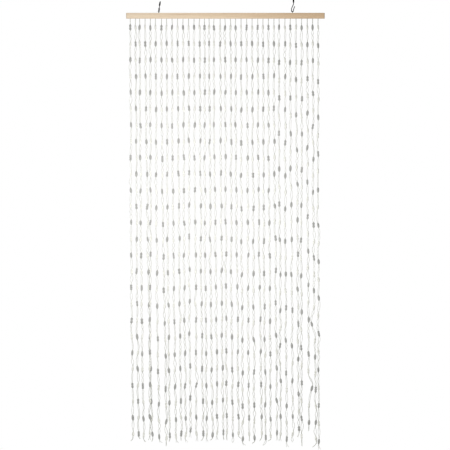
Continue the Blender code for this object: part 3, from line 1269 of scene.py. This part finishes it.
@dataclass
class HookAndEye:
    """A screw hook that hangs the batten by its screw eye.

    lip and shank are the hook's corners, as X and Z in millimetres, from its open end down to the bow and
    from the bow up. The thread's outline gives heights above its start in millimetres, with the share of
    the core's radius there. The crest begins and ends at crest_ends above that start, where it rises and
    falls with its own slopes, and from taper_start on it follows the point inwards. eye_sides are those
    of the ring in the solids, on which the hook bears.
    """

    hanging: Hanging
    bright: bpy.types.Material
    dark: bpy.types.Material
    wire: float = 1.9 * MM
    bow: float = 4.7 * MM
    bow_points: int = 7
    bow_first: float = 18.0
    bow_step: float = 36.0
    lip: tuple[Span, ...] = ((9.8, 24), (9.2, 20.5), (6.9, 16), (5.2, 11))
    shank: tuple[Span, ...] = ((-4.5, 11.5), (-3.5, 16), (0.5, 25), (4.2, 34), (4.6, 40.5), (4.6, 44))
    corner_steps: int = 5
    tip_length: float = 0.7 * MM
    tip_shares: Span = (0.55, 0.86)
    thread_aside: float = 4.6 * MM
    thread_start: float = 42 * MM
    thread_core: float = 3.35 * MM
    thread_crest: float = 4.05 * MM
    thread_pitch: float = 3.2 * MM
    thread_outline: tuple[Span, ...] = (
        (-1.2, 0.56), (-0.6, 0.8), (0, 0.95), (1.2, 1.0), (13, 1.0), (16, 0.86), (20, 0.45), (22, 0.12),
    )
    crest_ends: Span = (0.6 * MM, 19.5 * MM)
    crest_steps: int = 14
    crest_rise: float = 14.0
    crest_fall: float = 5.0
    crest_last: float = 0.2
    taper_start: float = 0.68
    taper: float = 0.5
    eye_rise: float = 1.6 * MM
    eye_wire: float = 0.85 * MM
    eye_inner: float = 2.5 * MM
    eye_sides: int = 8
    eye_shank: float = 1.35 * MM
    eye_length: float = 14 * MM
    eye_taper: float = 0.25
    play: float = 0.4 * MM

    @property
    def eye_middle(self) -> float:
        """Height of the middle of the eye's ring."""
        return self.eye_rise + 2 * self.eye_wire + self.eye_inner

    @property
    def turned(self) -> Matrix:
        """The turn of the hook and its eye."""
        return Matrix.Rotation(math.radians(self.hanging.turn), 4, "Z")

    @property
    def hook_place(self) -> Matrix:
        """The hook's place, with its lean about the point where it bears on the ring.

        Returns:
            The matrix of the place.
        """
        ring = self.eye_inner * math.cos(math.pi / self.eye_sides)
        height = self.eye_middle + ring - self.play - self.wire
        lean = Matrix.Rotation(math.radians(self.hanging.lean), 4, "Y")
        return Matrix.Translation((self.hanging.x, 0, height)) @ lean @ self.turned

    def raised(self, up: float) -> float:
        """Lower a height on the hook by what it is short of between its bow and its thread."""
        passed = min(max(up, self.bow), self.thread_start) - self.bow
        return up - passed * (1 - self.hanging.reach)

    def wire_route(self) -> Route:
        """List the hook's middle line from its open end to its thread.

        Returns:
            The route.
        """
        turns = [math.radians(self.bow_first - self.bow_step * step) for step in range(self.bow_points)]
        corners = [(across * MM, up * MM) for across, up in self.lip]
        corners += [(self.bow * math.cos(turn), self.bow * (1 + math.sin(turn))) for turn in turns]
        corners += [(across * MM, up * MM) for across, up in self.shank]
        places = [Vector((across, 0, self.raised(up))) for across, up in corners]
        route = Route()
        tip = (places[0] - places[1]).normalized() * self.tip_length
        route.add(places[0] + tip, self.tip_shares[0])
        for index in range(len(places) - 1):
            before = places[max(index - 1, 0)]
            after = places[min(index + 2, len(places) - 1)]
            leave = (places[index + 1] - before) / 2
            arrive = (after - places[index]) / 2
            for step in range(self.corner_steps):
                point = eased(places[index], leave, places[index + 1], arrive, step / self.corner_steps)
                route.add(point, self.tip_shares[1] if index == step == 0 else 1.0)
        route.add(places[-1])
        return route

    def thread_routes(self) -> list[Route]:
        """List the thread's core with its shoulder and point, and its helical crest.

        Returns:
            The two routes.
        """
        core, crest = Route(), Route()
        for up, share in self.thread_outline:
            core.add(Vector((self.thread_aside, 0, self.raised(self.thread_start + up * MM))), share)
        low, high = (self.raised(self.thread_start + up) for up in self.crest_ends)
        count = int((high - low) / self.thread_pitch * self.crest_steps)
        ridge = (self.thread_crest - self.thread_core) / self.thread_core
        for step in range(count + 1):
            share = step / count
            turn = FULL_TURN * step / self.crest_steps
            narrowed = max(0.0, share - self.taper_start) / (1 - self.taper_start)
            out = self.thread_core * (1.0 - self.taper * narrowed)
            across, back = self.thread_aside + out * math.cos(turn), out * math.sin(turn)
            ends = min(1.0, self.crest_rise * share, self.crest_fall * (1 - share) + self.crest_last)
            crest.add(Vector((across, back, low + (high - low) * share)), ridge * ends)
        return [core, crest]

    def build(self) -> list[bpy.types.Object]:
        """Build the hook, its thread and the eye.

        Returns:
            The three pieces, the hook first.
        """
        wire = swept_mesh("hook", [self.wire_route()], self.wire, rounds=4)
        wire.transform(self.hook_place)
        thread = swept_mesh("thread", self.thread_routes(), self.thread_core, rounds=3)
        thread.transform(self.hook_place)
        return [
            link_mesh(f"hook_wire_{self.hanging.name}", wire, self.bright),
            link_mesh(f"hook_thread_{self.hanging.name}", thread, self.dark),
            link_mesh(f"eye_{self.hanging.name}", self.eye_mesh(), self.bright),
        ]

    def eye_mesh(self) -> bpy.types.Mesh:
        """Spin the eye's ring across the hook's wire, and set its shank under it.

        Returns:
            The mesh, in place.
        """
        bm = bmesh.new()
        aside = Matrix.Translation((0, self.eye_inner + self.eye_wire, 0))
        bmesh.ops.create_circle(bm, segments=10, radius=self.eye_wire, matrix=aside)
        spin_round(bm, list(bm.verts) + list(bm.edges), (1, 0, 0), steps=28)
        bmesh.ops.translate(bm, verts=bm.verts, vec=(0, 0, self.eye_middle))
        bmesh.ops.create_cone(
            bm,
            cap_ends=True,
            segments=14,
            radius1=self.eye_taper * self.eye_shank,
            radius2=self.eye_shank,
            depth=self.eye_length,
            matrix=Matrix.Translation((0, 0, self.eye_rise + self.eye_wire - self.eye_length / 2)),
        )
        mesh = finished_mesh(bm, f"eye_{self.hanging.name}")
        mesh.transform(Matrix.Translation((self.hanging.x, 0, 0)) @ self.turned)
        return mesh


class SoftLight(NamedTuple):
    """A square light, with its place, what it faces, its side and its power in watts."""

    name: str
    place: Triple
    aim: Triple
    size: float
    power: float


LIGHTS = (
    SoftLight("key_light", (-0.35, -1.3, -0.76), (0.0, 0.0, -0.78), 0.9, 24),
    SoftLight("fill_light", (1.3, -2.2, -0.6), (0.0, 0.0, -0.7), 1.6, 7),
    SoftLight("back_light_left", (-1.9, 2.4, 0.2), (0.0, 0.0, -0.8), 1.4, 50),
    SoftLight("back_light_right", (2.1, 2.2, -0.3), (0.0, 0.0, -0.8), 1.4, 40),
    SoftLight("top_light", (0.1, 0.7, 1.5), (0.0, 0.0, 0.0), 1.2, 12),
)


@dataclass
class Studio:
    """The camera, the soft lights, the white surround and the pale floor."""

    pixel: float = 4.532 * MM
    frame_pixels: int = 450
    centre_pixel: float = 225.4
    top_pixel: float = 13.0
    distance: float = 6.0
    sensor: float = 36.0
    surround: float = 0.34
    floor_middle: Triple = (0, -1.2, -2.03)
    floor_size: Span = (3.2, 2.9)

    def build(self) -> None:
        """Set up everything that isn't part of the curtain."""
        bpy.context.scene.view_settings.view_transform = "Standard"
        self.build_camera()
        self.build_world()
        for light in LIGHTS:
            self.hang_light(light)
        self.build_floor()

    def build_camera(self) -> None:
        """Point a long lens straight at the curtain, as in the photograph."""
        half = self.frame_pixels / 2
        data = bpy.data.cameras.new("front_camera")
        data.sensor_width = self.sensor
        data.lens = self.sensor * self.distance / (self.frame_pixels * self.pixel)
        camera = bpy.data.objects.new("front_camera", data)
        bpy.context.scene.collection.objects.link(camera)
        camera.location = (
            (half - self.centre_pixel) * self.pixel,
            -self.distance,
            -(half - self.top_pixel) * self.pixel,
        )
        camera.rotation_euler = (math.radians(90), 0, 0)
        bpy.context.scene.camera = camera

    def build_world(self) -> None:
        """Make the surround plain white for the camera and a softer white for the curtain."""
        world = bpy.data.worlds.new("white_surround")
        bpy.context.scene.world = world
        graph = Graph(world)
        seen = graph.tree.nodes["Background"]
        graph.feed(seen.inputs["Color"], WHITE)
        graph.feed(seen.inputs["Strength"], 1.0)
        soft = graph.add("ShaderNodeBackground", {"Color": WHITE, "Strength": self.surround})
        straight = graph.add("ShaderNodeLightPath", output="Is Camera Ray")
        shaders = {"Fac": straight, 1: soft, 2: Channel(graph, seen.outputs["Background"])}
        surface = graph.tree.nodes["World Output"].inputs["Surface"]
        graph.feed(surface, graph.add("ShaderNodeMixShader", shaders))

    def hang_light(self, light: SoftLight) -> None:
        """Hang one light, which the camera doesn't see.

        Args:
            light: The light.
        """
        data = bpy.data.lights.new(light.name, "AREA")
        data.shape = "SQUARE"
        data.size = light.size
        data.energy = light.power
        lamp = bpy.data.objects.new(light.name, data)
        bpy.context.scene.collection.objects.link(lamp)
        lamp.visible_camera = False
        lamp.location = light.place
        way = Vector(light.aim) - Vector(light.place)
        lamp.rotation_euler = way.to_track_quat("-Z", "Y").to_euler()

    def build_floor(self) -> None:
        """Lay a pale floor just below the tails."""
        bm = bmesh.new()
        place = Matrix.Translation(self.floor_middle) @ Matrix.Diagonal((*self.floor_size, 1, 1))
        bmesh.ops.create_grid(bm, x_segments=1, y_segments=1, size=0.5, matrix=place)
        floor = link_bmesh("floor", bm, FloorFinish().material())


def fit(pieces: list[bpy.types.Object], slot: str, *nodes: str) -> None:
    """Let pieces ride on the curtain's body, and report them.

    Args:
        pieces: The pieces.
        slot: The record's material slot; not used.
        *nodes: The nodes that they replace.
    """
    for piece in pieces:
        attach(piece, "root")
        LOG.info("%s: %d faces", piece.name, len(piece.data.polygons))
    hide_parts(*nodes)


def main() -> None:
    """Build the curtain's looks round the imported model."""
    logging.basicConfig(level=logging.INFO, format="%(name)s: %(message)s")
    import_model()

    cord = CordFinish().material()
    grey = YarnFinish("grey_yarn", colour=tone(179, 179, 175), shade=tone(134, 134, 130)).material()
    ivory = YarnFinish("ivory_yarn", colour=tone(233, 233, 227), shade=tone(200, 200, 191)).material()
    tape = TapeFinish().material()
    bright = SteelFinish("dark_steel", tone(52, 52, 51), tone(34, 34, 33), roughness=0.26).material()
    dark = SteelFinish("dark_thread", tone(45, 44, 42), tone(28, 27, 26), roughness=0.35).material()

    fit([Batten(PineFinish().material()).build()], "light_pine", "batten")
    for side, numbers in HALVES.items():
        half = StringCurtain(side, numbers, cord, grey, ivory, tape)
        fit(half.build(), "cotton_yarn", f"strings_{side}")
    for hanging in HANGINGS:
        hook, thread, eye = HookAndEye(hanging, bright, dark).build()
        fit([hook, thread], "dark_steel", f"screw_hook_{hanging.name}")
        fit([eye], "dark_steel", f"screw_eye_{hanging.name}")

    Studio().build()


if __name__ == "__main__":
    main()
